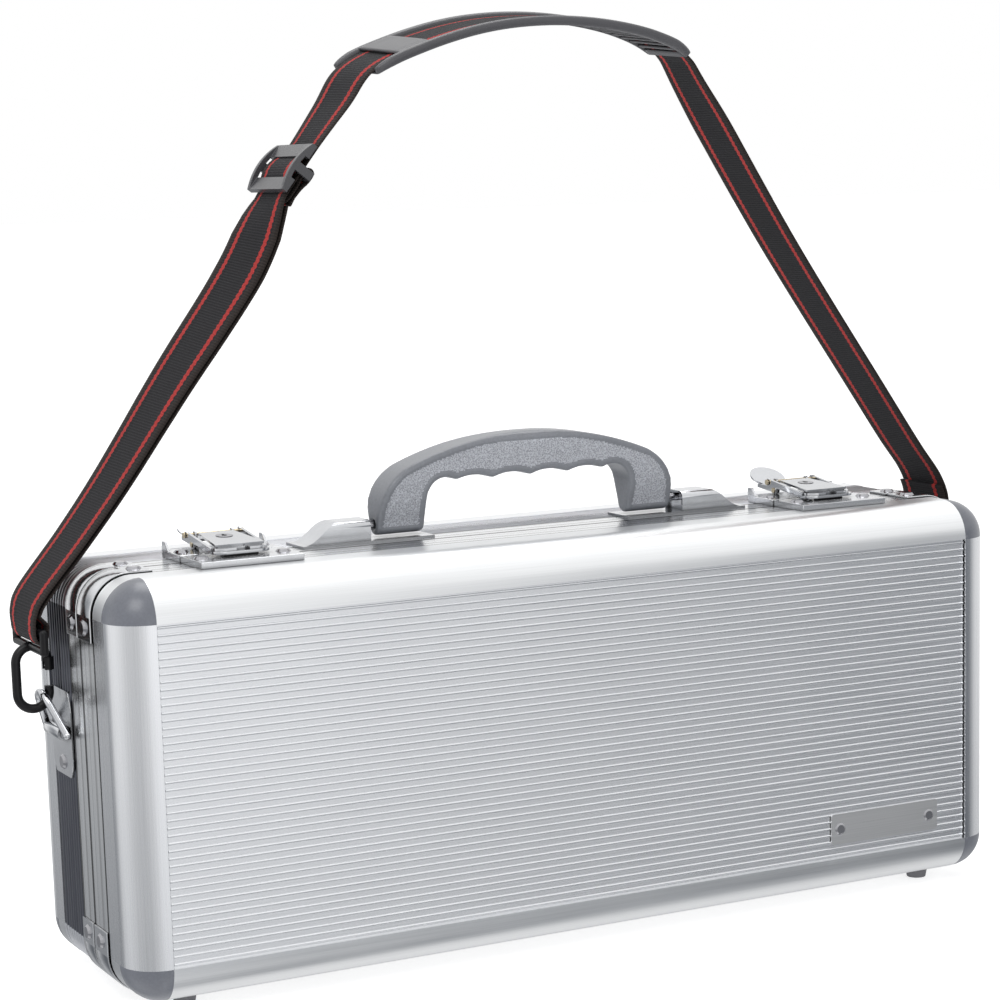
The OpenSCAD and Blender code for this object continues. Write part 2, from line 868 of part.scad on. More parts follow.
module latch_lever_left() {
    color(bright) at_latch(-1) latch_lever();
}

module latch_lever_right() {
    color(bright) at_latch(1) latch_lever();
}

module bail_pin() {
    half = bail_in + bail_bar + 0.3;
    lever_frame() translate([-half, pin_back, pin_up]) rotate([0, 90, 0]) {
        cylinder(r = latch_pin_r, h = 2 * half);
        for (z = [-0.6, 2 * half]) translate([0, 0, z]) cylinder(r = latch_pin_r + 0.5, h = 0.6);
    }
}

module bail_pin_left() {
    color(brass) at_latch(-1) bail_pin();
}

module bail_pin_right() {
    color(brass) at_latch(1) bail_pin();
}

// cover plate of the hook, rising toward the back
module cover_frame() {
    translate([0, cover_y, cover_h]) rotate([cover_tilt, 0, 0]) children();
}

// one layer of the hook's nose
module nose_slab(inset, low) {
    half = bail_in + bail_bar - inset;
    front = nose_y + inset;
    translate([0, 0, low]) linear_extrude(nose_layer) {
        translate([-half, front + nose_r]) square([2 * half, nose_back - front - nose_r]);
        translate([nose_r - half, front]) square([2 * (half - nose_r), nose_back - front]);
        for (side = [-1, 1]) translate([side * (half - nose_r), front + nose_r]) circle(nose_r);
    }
}

// hook with two arms on the lever's pin, a layered nose over the catch and a cover plate
module latch_bail() {
    qy = lever_y + pin_back;
    qh = lever_h + pin_up;
    low = tray_h + lip_h + clear;
    high = low + 2 * nose_layer;
    for (side = [0, 1]) mirror([side, 0, 0]) difference() {
        union() {
            translate([bail_in, qy, qh]) rotate([0, 90, 0]) cylinder(r = boss_r + 0.2, h = bail_bar);
            translate([bail_in, 0, 0]) rotate([90, 0, 90]) linear_extrude(bail_bar) polygon([
                [nose_back - 1, low], [nose_back - 1, high], [qy, qh + boss_r], [qy, qh - boss_r]
            ]);
        }
        translate([bail_in - 1, qy, qh]) rotate([0, 90, 0])
            cylinder(r = latch_pin_r + run_fit, h = bail_bar + 2);
    }
    nose_slab(0, low);
    difference() {
        nose_slab(1, low + nose_layer);
        translate([-3, nose_y, low + nose_layer]) cube([6, 4, nose_layer + 1]);
    }
    translate([-cover_front + 1, cover_y, high - 0.1])
        cube([2 * cover_front - 2, nose_back - cover_y, cover_h - high + 0.3]);
    cover_frame() linear_extrude(plate_t) difference() {
        polygon([[-cover_front, 0], [cover_front, 0], [cover_back, cover_len], [-cover_back, cover_len]]);
        translate([0, lock_at]) circle(lock_r + run_fit);
    }
}

module latch_bail_left() {
    color(bright) at_latch(-1) latch_bail();
}

module latch_bail_right() {
    color(bright) at_latch(1) latch_bail();
}

module lock_cylinder() {
    cover_frame() translate([0, lock_at, 0]) {
        difference() {
            translate([0, 0, -lock_low]) cylinder(r = lock_r, h = lock_low + plate_t + 0.2);
            translate([0, 0, plate_t - 0.4]) {
                cylinder(r = 1.2, h = 3);
                translate([-0.4, 0, 0]) cube([0.8, 2.6, 3]);
            }
        }
        translate([-1.5, -4.2, -lock_low - 0.6]) cube([3, 6, 0.8]);
    }
}

module lock_cylinder_left() {
    color(bright) at_latch(-1) lock_cylinder();
}

module lock_cylinder_right() {
    color(bright) at_latch(1) lock_cylinder();
}

// a straight rod between two points
module rod(a, b, r) {
    d = b - a;
    translate(a) rotate([0, acos(d[2] / norm(d)), atan2(d[1], d[0])]) cylinder(r = r, h = norm(d));
}

// triangular ring in its own plane, x across and y up, base bar on the x axis
module ring_wireframe() {
    span = ring_up - ring_bend;
    reach = norm([ring_half, span]);
    turn = acos(ring_bend / reach) - atan2(span, ring_half);
    side_len = sqrt(reach * reach - ring_bend * ring_bend);
    rod([-ring_half, 0, 0], [ring_half, 0, 0], ring_wire);
    for (side = [0, 1]) mirror([side, 0, 0]) {
        translate([ring_half, 0, 0]) sphere(ring_wire + wire_step);
        translate([0, span, 0]) rotate([0, 0, turn]) translate([ring_bend, 0.4, 0]) rotate([90, 0, 0])
            cylinder(r = ring_wire - wire_step, h = side_len + 0.4);
    }
    translate([0, span, 0]) rotate([0, 0, turn]) rotate_extrude(angle = 180 - 2 * turn)
        translate([ring_bend, 0]) circle(ring_wire, $fn = 32);
}

module ring_right() {
    color(bright) translate([ring_base_x, ring_y, ring_z]) rotate([0, ring_lean, 0])
        rotate([90, 0, 90]) ring_wireframe();
}

module ring_left() {
    color(bright) mirror([1, 0, 0]) translate([ring_base_x, ring_y, ring_z]) rotate([0, ring_lean, 0])
        rotate([90, 0, 90]) ring_wireframe();
}

// snap hook drawn for the right side, in the plane of its wire
module snap_hook() {
    translate([hook_x, ring_y, 0]) {
        translate([0, 0, hook_low_z]) rotate([90, 0, 0]) rotate([0, 0, 180]) rotate_extrude(angle = 180)
            translate([hook_bend, 0]) circle(hook_wire, $fn = 32);
        translate([0, 0, hook_high_z]) rotate([90, 0, 0]) rotate_extrude(angle = 180)
            translate([hook_bend, 0]) circle(hook_wire, $fn = 32);
        translate([hook_bend, 0, hook_low_z]) cylinder(r = hook_wire, h = hook_high_z - hook_low_z);
        translate([-hook_bend, 0, hook_low_z]) cylinder(r = hook_wire, h = gate_tip_z - clear - hook_low_z);
        difference() {
            translate([-hook_bend, 0, gate_z - gate_r - 0.1])
                cylinder(r = sleeve_r, h = gate_lap + gate_r + 1.9);
            translate([-hook_bend - gate_r - clear, -gate_w / 2 - clear, gate_z - 2 * gate_r])
                cube([2 * gate_r + sleeve_r, gate_w + 2 * clear, 3 * gate_r + 2 * clear]);
        }
        translate([-hook_bend, sleeve_r - clear, gate_z]) rotate([90, 0, 0])
            cylinder(r = gate_pin_r, h = 2 * (sleeve_r - clear));
        rod([0, -loop_half, shoulder_z], [0, loop_half, shoulder_z], crossbar_r);
        rod([0, -loop_half, crossbar_z], [0, loop_half, crossbar_z], crossbar_r);
        for (side = [-1, 1]) {
            translate([0, side * loop_half, shoulder_z])
                cylinder(r = crossbar_r, h = crossbar_z - shoulder_z);
            for (z = [shoulder_z, crossbar_z]) translate([0, side * loop_half, z]) sphere(crossbar_r);
        }
    }
}

module snap_hook_right() {
    color(dark) snap_hook();
}

module snap_hook_left() {
    color(dark) mirror([1, 0, 0]) snap_hook();
}

module hook_gate() {
    translate([hook_x - hook_bend, ring_y, 0]) difference() {
        union() {
            translate([0, 0, gate_tip_z]) cylinder(r = gate_r - 0.2, h = gate_z - gate_tip_z);
            translate([0, gate_w / 2, gate_z]) rotate([90, 0, 0]) cylinder(r = gate_r, h = gate_w);
        }
        translate([0, 2, gate_z]) rotate([90, 0, 0]) cylinder(r = gate_pin_r + run_fit, h = 4);
    }
}

module hook_gate_right() {
    color(bright) hook_gate();
}

module hook_gate_left() {
    color(bright) mirror([1, 0, 0]) hook_gate();
}

// a band of the route, from low to high beside the centreline
module strap_band(points, low, high, wide) {
    translate([0, ring_y + wide / 2, 0]) rotate([90, 0, 0]) linear_extrude(wide)
        polygon(band(points, low, high));
}

module strap_webbing() {
    color(cloth) strap_band(route, -strap_t / 2, strap_t / 2, strap_w);
}

// webbing turned under the hook bar, drawn in the route's plane
module fold_turn(x) {
    translate([x, ring_y + strap_w / 2, crossbar_z]) rotate([90, 0, 0]) linear_extrude(strap_w)
        difference() {
            circle(fold_r + strap_t);
            circle(fold_r);
            translate([-strap_w, 0]) square(2 * strap_w);
        }
}

module strap_left_fold() {
    x = -hook_x;
    start = [[x + fold_r + strap_t / 2, crossbar_z], [x + fold_r + strap_t / 2, crossbar_z + 3]];
    color(cloth) union() {
        fold_turn(x);
        strap_band(concat(start, left_return),
            -strap_t / 2, strap_t / 2, strap_w);
    }
}

module strap_right_fold() {
    x = hook_x;
    start = [[x - fold_r - strap_t / 2, crossbar_z], [x - fold_r - strap_t / 2, crossbar_z + 3]];
    color(cloth) union() {
        fold_turn(x);
        strap_band(concat(start, right_return),
            -strap_t / 2, strap_t / 2, strap_w);
    }
}

module shoulder_pad() {
    run = part_of(route, pad_from, pad_to);
    loops = [3, len(run) - 9];
    top = -strap_t / 2;
    color(dark) union() {
        strap_band(run, top - pad_t, top, pad_w);
        for (at = loops) for (side = [-1, 1]) translate([0, side * (strap_w / 2 + 2), 0])
            strap_band(part_of(run, at, at + 5), top - 0.5, top + strap_t + 1.2, 3);
        for (at = loops) strap_band(part_of(run, at, at + 5), top + strap_t + 0.2,
            top + strap_t + 1.2, strap_w + 4);
    }
}

module at_slider() {
    translate([slider_mid[0], ring_y, slider_mid[1]]) rotate([0, -slider_turn, 0]) children();
}

// side rail of the slider, bowed away from the webbing
function bow_points(low) = concat(
    [for (i = [-8 : 8]) [i * slider_len / 16, low + slider_t + bow * (1 - i * i / 64)]],
    [for (i = [8 : -1 : -8]) [i * slider_len / 16, low + bow * (1 - i * i / 64)]]);

module strap_slider() {
    low = strap_t / 2 + slider_gap;
    color(dark) at_slider() {
        for (x = [-slider_len / 2, slider_len / 2 - slider_end])
            translate([x, -slider_half, low]) cube([slider_end, 2 * slider_half, slider_t]);
        for (side = [0, 1]) mirror([0, side, 0]) translate([0, slider_half, 0]) rotate([90, 0, 0])
            linear_extrude(slider_side) {
                polygon(bow_points(low));
                translate([-slider_bar / 2, -slider_drop]) square([slider_bar, slider_drop + low + bow]);
            }
        translate([-slider_bar / 2, -slider_half, -slider_drop]) cube([slider_bar, 2 * slider_half, 2]);
    }
}

module slider_loop() {
    color(cloth) at_slider() translate([0, strap_w / 2, 0]) rotate([90, 0, 0]) linear_extrude(strap_w)
        difference() {
            union() {
                translate([-4, -5.9]) square([8, 4.6]);
                translate([-14.6, -4.5]) square([11, 2.8]);
            }
            translate([-2.3, -4.5]) square([4.6, 2.6]);
        }
}

back_panel();
top_panel();
bottom_panel();
left_panel();
right_panel();
rear_trims_long();
rear_trims_short();
rear_corner_caps();
body_rails_long();
body_rails_short();
body_corner_brackets();
body_lining();
body_feet();
body_hinge_leaves();
hinge_pins();
handle_bracket_left();
handle_bracket_right();
handle_pins();
latch_base_left();
latch_base_right();
latch_pivot_pins();
ring_bracket_left();
ring_bracket_right();
body_rivets();
front_panel();
front_trims_long();
front_trims_short();
front_corner_caps();
lid_rails_long();
lid_rails_short();
lid_corner_brackets();
lid_lining();
lid_feet();
lid_hinge_leaves();
catch_left();
catch_right();
nameplate();
lid_rivets();
handle_grip();
latch_lever_left();
latch_lever_right();
bail_pin_left();
bail_pin_right();
latch_bail_left();
latch_bail_right();
lock_cylinder_left();
lock_cylinder_right();
ring_left();
ring_right();
strap_webbing();
strap_left_fold();
strap_right_fold();
shoulder_pad();
snap_hook_left();
snap_hook_right();
hook_gate_left();
hook_gate_right();
strap_slider();
slider_loop();
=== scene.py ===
import math

import bmesh
import bpy
from mathutils import Euler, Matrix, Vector, kdtree


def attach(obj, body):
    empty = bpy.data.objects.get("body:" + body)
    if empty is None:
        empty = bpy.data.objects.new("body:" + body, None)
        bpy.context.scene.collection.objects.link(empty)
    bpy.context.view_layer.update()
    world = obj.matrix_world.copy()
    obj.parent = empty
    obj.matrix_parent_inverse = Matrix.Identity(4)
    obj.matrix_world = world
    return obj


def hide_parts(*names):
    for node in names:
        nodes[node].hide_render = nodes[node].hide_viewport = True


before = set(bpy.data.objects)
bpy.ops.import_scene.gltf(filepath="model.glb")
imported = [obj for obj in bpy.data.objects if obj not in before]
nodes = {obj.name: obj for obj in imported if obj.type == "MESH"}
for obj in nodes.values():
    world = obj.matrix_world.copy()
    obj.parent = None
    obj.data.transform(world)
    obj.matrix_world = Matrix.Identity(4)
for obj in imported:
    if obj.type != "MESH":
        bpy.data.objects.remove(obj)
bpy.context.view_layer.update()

MM = 0.001
ALONG_X, ALONG_Z = 0, 2

# The webbing. Lengths in mm; the pinstripes and the selvedge lie at shares of its width from its middle.
STRAP_W = 35.0
STRAP_T = 1.4
STRIPE_AT = 0.315
STRIPE_DRAWN = 0.036
STRIPE_RAISED = 0.045
SELVEDGE_AT = 0.39


# Node helpers

class Network:
    """A node tree with small helpers. A value is an output to link or a constant to set on the socket."""

    def __init__(self, tree):
        self.tree = tree

    def link(self, output, socket):
        self.tree.links.new(output, socket)

    def feed(self, socket, value):
        if isinstance(value, bpy.types.NodeSocket):
            self.link(value, socket)
        elif isinstance(value, tuple):
            socket.default_value = (*value, 1)
        else:
            socket.default_value = value

    def node(self, kind, **inputs):
        made = self.tree.nodes.new(kind)
        for key, value in inputs.items():
            made.inputs[key].default_value = value
        return made

    def place(self, source):
        return self.node("ShaderNodeTexCoord").outputs[source]

    def coords(self, scale):
        """Object coordinates; scale is one number, or one for each axis."""
        spread = self.node("ShaderNodeMapping")
        spread.inputs["Scale"].default_value = scale if isinstance(scale, tuple) else (scale,) * 3
        self.link(self.place("Object"), spread.inputs["Vector"])
        return spread.outputs["Vector"]

    def split(self, vector):
        made = self.node("ShaderNodeSeparateXYZ")
        self.link(vector, made.inputs["Vector"])
        return made.outputs

    def noise(self, scale, detail, rough=0.55):
        made = self.node("ShaderNodeTexNoise", Scale=1.0, Detail=detail, Roughness=rough)
        self.link(self.coords(scale), made.inputs["Vector"])
        return made.outputs["Fac"]

    def cells(self, scale):
        made = self.node("ShaderNodeTexVoronoi", Scale=1.0)
        self.link(self.coords(scale), made.inputs["Vector"])
        return made.outputs["Distance"]

    def span(self, value, low, high, to_low=0, to_high=1, how="LINEAR"):
        """The value's range from low to high, mapped to to_low to to_high and held at both ends."""
        made = self.node("ShaderNodeMapRange")
        made.interpolation_type = how
        for key, number in (("From Min", low), ("From Max", high), ("To Min", to_low), ("To Max", to_high)):
            made.inputs[key].default_value = number
        self.link(value, made.inputs["Value"])
        return made.outputs["Result"]

    def math(self, how, first, second=0.0):
        made = self.node("ShaderNodeMath")
        made.operation = how
        self.feed(made.inputs[0], first)
        self.feed(made.inputs[1], second)
        return made.outputs[0]

    def wave(self, value, rate):
        return self.math("SINE", self.math("MULTIPLY", value, rate))

    def blend(self, first, first_share, second, second_share):
        return self.math("ADD", self.math("MULTIPLY", first, first_share),
                         self.math("MULTIPLY", second, second_share))

    def mix(self, factor, low, high, how="MIX"):
        made = self.node("ShaderNodeMix")
        made.data_type = "RGBA"
        made.blend_type = how
        first, second = [s for s in made.inputs if s.type == "RGBA"]
        self.feed(made.inputs["Factor"], factor)
        self.feed(first, low)
        self.feed(second, high)
        return [s for s in made.outputs if s.type == "RGBA"][0]

    def ramp(self, value, stops, blue=0.0):
        """A grey ramp from (place, brightness) stops; blue is added in the shade."""
        made = self.node("ShaderNodeValToRGB")
        self.link(value, made.inputs["Fac"])
        elements = made.color_ramp.elements
        while len(elements) < len(stops):
            elements.new(0.5)
        for element, (place, level) in zip(elements, stops):
            added = blue * max(0.0, 1 - level)
            element.position = place
            element.color = (level, level + added * 0.4, level + added, 1)
        return made.outputs["Color"]


class Finish(Network):
    """A principled material with its texture network."""

    def __init__(self, name, base, rough, metallic=0.0, **sockets):
        self.material = bpy.data.materials.new(name)
        self.material.use_nodes = True
        super().__init__(self.material.node_tree)
        self.shader = self.tree.nodes["Principled BSDF"]
        self.normal = None
        self.put("Base Color", (*base, 1))
        self.put("Roughness", rough)
        self.put("Metallic", metallic)
        for key, value in sockets.items():
            self.put(key.replace("_", " "), value)

    def put(self, socket, value):
        self.shader.inputs[socket].default_value = value

    def colour(self, output):
        self.link(output, self.shader.inputs["Base Color"])

    def rough(self, output):
        self.link(output, self.shader.inputs["Roughness"])

    def bump(self, height, distance, strength):
        """A bump over those made before it."""
        made = self.node("ShaderNodeBump", Strength=strength, Distance=distance)
        self.link(height, made.inputs["Height"])
        if self.normal is not None:
            self.link(self.normal, made.inputs["Normal"])
        self.normal = made.outputs["Normal"]
        self.link(self.normal, self.shader.inputs["Normal"])

    def painted_groove_shade(self, colour, front, back, stops):
        """The colour with painted shade, darkened in lines along X or Z between two depths of the case, in mm.
        """
        depth = self.split(self.coords(1))["Y"]
        lines = self.ramp(self.span(depth, front * MM, back * MM), stops)
        return self.mix(1.0, colour, lines, "MULTIPLY")

    def painted_crevice_shade(self, colour, reach, least):
        """The colour with painted shade, darker where other pieces stand close by; reach in mm."""
        near = self.node("ShaderNodeAmbientOcclusion", Distance=reach * MM)
        near.samples = 6
        return self.mix(self.span(near.outputs["AO"], 0.25, 0.85), (least, least, least * 1.05), colour)


def scaled(colour, factor):
    return tuple(c * factor for c in colour)


# Kinds of surface. The scales of the noises are in waves per metre.

def drawn_metal(name, base, rough, along, streak=0.1, depth=0.00002, grain=2600, lines=None):
    """Extruded or rolled metal with fine lines along one axis, faint clouding and handling marks."""
    made = Finish(name, base, rough, metallic=1.0)
    fine = [grain] * 3
    fine[along] = 14
    fibres = made.noise(tuple(fine), 5.0, 0.6)
    cloud = made.noise(9, 3.0)
    marks = made.noise(70, 8.0, 0.7)
    spread = 0.05
    dark = tuple(max(c - spread, 0) for c in base)
    light = tuple(min(c + spread * 0.6, 1) for c in base)
    shade = made.mix(made.span(fibres, 0.3, 0.7), dark, light)
    # the rails' lines are painted shade in their grooves and at their edges
    made.colour(made.painted_groove_shade(shade, *lines) if lines else shade)
    brushed = made.span(fibres, 0.2, 0.8, -streak, streak)
    clouded = made.math("ADD", brushed, made.span(cloud, 0.3, 0.7, -0.03, 0.03))
    worn = made.math("ADD", clouded, made.span(marks, 0.62, 0.8, 0.0, 0.07))
    made.rough(made.math("ADD", worn, rough))
    made.bump(fibres, depth, 0.6)
    return made.material


def plated(name, base, rough, wave=0.00003):
    """Bright plating with a faint orange-peel surface, dulled patches and painted shade in its crevices."""
    made = Finish(name, base, rough, metallic=1.0)
    peel = made.noise(160, 2.0)
    dull = made.noise(55, 6.0, 0.65)
    face = made.mix(made.span(dull, 0.35, 0.75), base, scaled(base, 0.86))
    # painted shade: the plating's colour darkens where other pieces stand close by
    made.colour(made.painted_crevice_shade(face, 3.5, 0.06))
    made.rough(made.span(dull, 0.35, 0.8, rough, rough + 0.12))
    made.bump(peel, wave, 0.5)
    return made.material


def moulded(name, base, rough, grain=900.0, depth=0.00003, **sockets):
    """Moulded plastic or rubber with a fine grain and slight colour variation."""
    made = Finish(name, base, rough, **sockets)
    fine = made.noise(grain, 3.0)
    broad = made.noise(22, 5.0)
    mixed = made.blend(fine, 0.5, broad, 0.5)
    fleck = 0.12
    made.colour(made.mix(made.span(mixed, 0.35, 0.65), scaled(base, 1 - fleck), scaled(base, 1 + fleck)))
    made.rough(made.span(broad, 0.3, 0.7, rough - 0.05, rough + 0.07))
    made.bump(fine, depth, 0.6)
    return made.material


def speckled(name, base, rough):
    """The sparkling coarse grain of the grip's recessed faces."""
    made = Finish(name, base, rough, Coat_Weight=0.35, Coat_Roughness=0.16)
    cells = made.cells(1500)
    fine = made.noise(1900, 2.0)
    height = made.math("ADD", cells, made.math("MULTIPLY", fine, 0.6))
    made.colour(made.mix(made.span(height, 0.45, 1.1), scaled(base, 0.74), scaled(base, 1.75)))
    made.rough(made.span(height, 0.3, 1.2, rough + 0.1, rough - 0.1))
    made.bump(height, 0.00024, 0.9)
    return made.material


def woven(name):
    """Black webbing: cross ribs, brown selvedge and two red pinstripes, laid out on the strap's own UVs."""
    made = Finish(name, (0.012, 0.012, 0.014), 0.82, Sheen_Weight=0.03, Sheen_Roughness=0.45,
                  Specular_IOR_Level=0.22)
    place = made.split(made.place("UV"))
    across, along = place["X"], place["Y"]
    turn = 2 * math.pi
    ribs = made.wave(along, turn / 0.00125)
    yarns = made.wave(across, turn * 46)
    weave = made.blend(ribs, 0.7, yarns, 0.3)
    fuzz = made.noise(2400, 3.0)
    middle = made.math("ABSOLUTE", made.math("SUBTRACT", across, 0.5))
    zigzag = made.math("MULTIPLY", made.wave(along, turn / 0.0026), 0.008)
    apart = made.math("SUBTRACT", made.math("ADD", middle, zigzag), STRIPE_AT)
    stripe = made.math("LESS_THAN", made.math("ABSOLUTE", apart), STRIPE_DRAWN)
    selvedge = made.math("GREATER_THAN", middle, SELVEDGE_AT)
    black = made.mix(made.span(weave, -1, 1), (0.005, 0.005, 0.006), (0.020, 0.019, 0.022))
    brown = made.mix(made.span(weave, -1, 1), (0.010, 0.008, 0.007), (0.028, 0.020, 0.018))
    red = made.mix(made.span(fuzz, 0.35, 0.65), (0.24, 0.016, 0.016), (0.46, 0.045, 0.040))
    made.colour(made.mix(stripe, made.mix(selvedge, black, brown), red))
    made.rough(made.span(fuzz, 0.3, 0.7, 0.7, 0.92))
    made.bump(weave, 0.00009, 0.8)
    made.bump(fuzz, 0.00005, 0.5)
    return made.material


def nap(name, base):
    """Short flocked nap of the linings."""
    made = Finish(name, base, 0.9, Sheen_Weight=0.5, Sheen_Roughness=0.5)
    fine = made.noise(1500, 3.0)
    broad = made.noise(18, 4.0)
    mixed = made.blend(fine, 0.6, broad, 0.4)
    made.colour(made.mix(made.span(mixed, 0.35, 0.65), scaled(base, 0.7), scaled(base, 1.5)))
    made.rough(made.span(fine, 0.3, 0.7, 0.82, 0.97))
    made.bump(fine, 0.00012, 0.8)
    return made.material


# The looks. The rails' grooves and edges get painted shade: dark lines from their front edge (0) to their back
# edge (1).

LID_PAINTED_SHADE = [
    (0.0, 0.06), (0.11, 0.06), (0.13, 1.0), (0.30, 0.95), (0.36, 0.62), (0.44, 0.72), (0.48, 1.0),
    (0.66, 0.95), (0.70, 0.70), (0.74, 1.0), (0.91, 0.95), (0.93, 0.12), (1.0, 0.10),
]
BODY_PAINTED_SHADE = [
    (0.0, 0.10), (0.05, 0.15), (0.08, 0.95), (0.34, 0.90), (0.40, 0.60), (0.48, 0.66), (0.52, 1.0),
    (0.72, 0.95), (0.78, 0.72), (0.82, 1.0), (0.86, 0.95), (0.88, 0.10), (1.0, 0.08),
]


# rail metal with painted shade in its grooves and at its edges
def rail_metal(name, along, front, back, stops):
    return drawn_metal(name, (0.80, 0.81, 0.82), 0.22, along, streak=0.06, depth=0.00005, grain=900,
                       lines=(front, back, stops))


panel_face = drawn_metal("panel_face", (0.80, 0.81, 0.83), 0.27, ALONG_X, depth=0.00001)
sheet_x = drawn_metal("sheet_x", (0.66, 0.67, 0.70), 0.32, ALONG_X)
# the side sheets' dark base colour is painted shade
side_sheet_painted_shade = drawn_metal("side_sheet_painted_shade", (0.115, 0.12, 0.14), 0.34, ALONG_Z)
trim_x = drawn_metal("trim_x", (0.82, 0.83, 0.84), 0.33, ALONG_X, streak=0.04, depth=0.00001)
trim_z = drawn_metal("trim_z", (0.74, 0.75, 0.77), 0.26, ALONG_Z, streak=0.04, depth=0.00001)
lid_rail_x = rail_metal("lid_rail_x", ALONG_X, -30.0, -11.0, LID_PAINTED_SHADE)
lid_rail_z = rail_metal("lid_rail_z", ALONG_Z, -30.0, -11.0, LID_PAINTED_SHADE)
body_rail_x = rail_metal("body_rail_x", ALONG_X, -11.0, 4.0, BODY_PAINTED_SHADE)
body_rail_z = rail_metal("body_rail_z", ALONG_Z, -11.0, 4.0, BODY_PAINTED_SHADE)
bright = plated("bright_plate", (0.60, 0.61, 0.63), 0.09)
pressed = plated("pressed_plate", (0.66, 0.67, 0.69), 0.12, wave=0.00005)
rivet = plated("rivet_plate", (0.40, 0.40, 0.42), 0.16)
# the lock cylinder's dark face is painted shade of its recess
lock_face_painted_shade = plated("lock_face_painted_shade", (0.34, 0.34, 0.36), 0.20)
pin = plated("pin_plate", (0.70, 0.60, 0.42), 0.22)
plate = drawn_metal("name_plate_metal", (0.72, 0.72, 0.72), 0.30, ALONG_X, streak=0.07)
cap = moulded("cap_plastic", (0.120, 0.128, 0.150), 0.30, Coat_Weight=0.3, Coat_Roughness=0.22)
grip_smooth = moulded("grip_plastic", (0.175, 0.185, 0.205), 0.34, Coat_Weight=0.25, Coat_Roughness=0.25)
grip_grain = speckled("grip_grain", (0.265, 0.275, 0.300), 0.36)
foot = moulded("foot_rubber", (0.13, 0.13, 0.14), 0.6)
lining = nap("lining_nap", (0.020, 0.020, 0.022))
webbing = woven("webbing")
pad_rubber = moulded("pad_rubber", (0.062, 0.062, 0.068), 0.40, grain=1400.0, depth=0.00004)
hook_black = moulded("hook_enamel", (0.006, 0.006, 0.007), 0.30, grain=500.0, Specular_IOR_Level=0.2,
                     Coat_Weight=0.08, Coat_Roughness=0.15)
slider_black = moulded("slider_plastic", (0.045, 0.045, 0.050), 0.33, Coat_Weight=0.2, Coat_Roughness=0.2)


def both(*names):
    return [name + side for name in names for side in ("_left", "_right")]


CORNER_BRACKETS = ["body_corner_brackets", "lid_corner_brackets"]
FINISH = {
    panel_face: ["front_panel", "back_panel"],
    sheet_x: ["top_panel", "bottom_panel"],
    side_sheet_painted_shade: ["left_panel", "right_panel"],
    trim_x: ["front_trims_long", "rear_trims_long"],
    trim_z: ["front_trims_short", "rear_trims_short"],
    lid_rail_x: ["lid_rails_long"],
    lid_rail_z: ["lid_rails_short"],
    body_rail_x: ["body_rails_long"],
    body_rail_z: ["body_rails_short"],
    bright: both("latch_lever", "latch_bail", "ring", "hook_gate", "handle_bracket"),
    pressed: [*CORNER_BRACKETS, "body_hinge_leaves", "lid_hinge_leaves",
              *both("latch_base", "catch", "ring_bracket")],
    rivet: ["body_rivets", "lid_rivets", "hinge_pins", "handle_pins"],
    lock_face_painted_shade: both("lock_cylinder"),
    pin: ["latch_pivot_pins", *both("bail_pin")],
    plate: ["nameplate"],
    cap: ["front_corner_caps", "rear_corner_caps"],
    foot: ["body_feet", "lid_feet"],
    lining: ["body_lining", "lid_lining"],
    hook_black: both("snap_hook"),
    slider_black: ["strap_slider"],
}
for look, names in FINISH.items():
    for name in names:
        nodes[name].data.materials.clear()
        nodes[name].data.materials.append(look)


# Softened edges on the small pieces

WELD_MM = 0.01


def soften(name, width, segments=2):
    weld = nodes[name].modifiers.new("weld", "WELD")
    weld.merge_threshold = WELD_MM * MM
    bevel = nodes[name].modifiers.new("bevel", "BEVEL")
    bevel.width = width * MM
    bevel.segments = segments
    bevel.limit_method = "ANGLE"
    bevel.angle_limit = math.radians(38)
    bevel.use_clamp_overlap = True
    bevel.harden_normals = False


for name in CORNER_BRACKETS + both("handle_bracket", "latch_base", "catch", "ring_bracket"):
    soften(name, 0.35)
for name in both("latch_lever", "latch_bail") + ["nameplate"]:
    soften(name, 0.25)
soften("strap_slider", 0.8, 3)


# Mesh helpers

def add_piece(name, verts, faces, body, look, replaced=(), uvs=None):
    mesh = bpy.data.meshes.new(name)
    mesh.from_pydata(verts, [], faces)
    if uvs is not None:
        layer = mesh.uv_layers.new(name="UVMap")
        for loop in mesh.loops:
            layer.data[loop.index].uv = uvs[loop.vertex_index]
    made = bmesh.new()
    made.from_mesh(mesh)
    bmesh.ops.recalc_face_normals(made, faces=made.faces)
    made.to_mesh(mesh)
    made.free()
    for polygon in mesh.polygons:
        polygon.use_smooth = True
    piece = bpy.data.objects.new(name, mesh)
    bpy.context.scene.collection.objects.link(piece)
    mesh.materials.append(look)
    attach(piece, body)
    if replaced:
        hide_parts(*replaced)
    return piece


def curve_point(a, b, c, d, t):
    """A point between b and c on the smooth curve through four points."""
    return tuple(0.5 * (2 * b[i] + (c[i] - a[i]) * t + (2 * a[i] - 5 * b[i] + 4 * c[i] - d[i]) * t * t
                        + (3 * b[i] - a[i] - 3 * c[i] + d[i]) * t ** 3) for i in (0, 1))


def smooth_line(points, steps):
    last = len(points) - 1
    line = [curve_point(points[max(i - 1, 0)], points[i], points[i + 1], points[min(i + 2, last)], j / steps)
            for i in range(last) for j in range(steps)]
    return line + [points[-1]]


def resample(line, pitch):
    """The same line with points a fixed distance apart."""
    out = [line[0]]
    left = pitch
    for a, b in zip(line, line[1:]):
        long = math.dist(a, b)
        at = left
        while at <= long:
            t = at / long
            out.append((a[0] + (b[0] - a[0]) * t, a[1] + (b[1] - a[1]) * t))
            at += pitch
        left = at - long
    if math.dist(out[-1], line[-1]) > pitch * 0.3:
        out.append(line[-1])
    return out


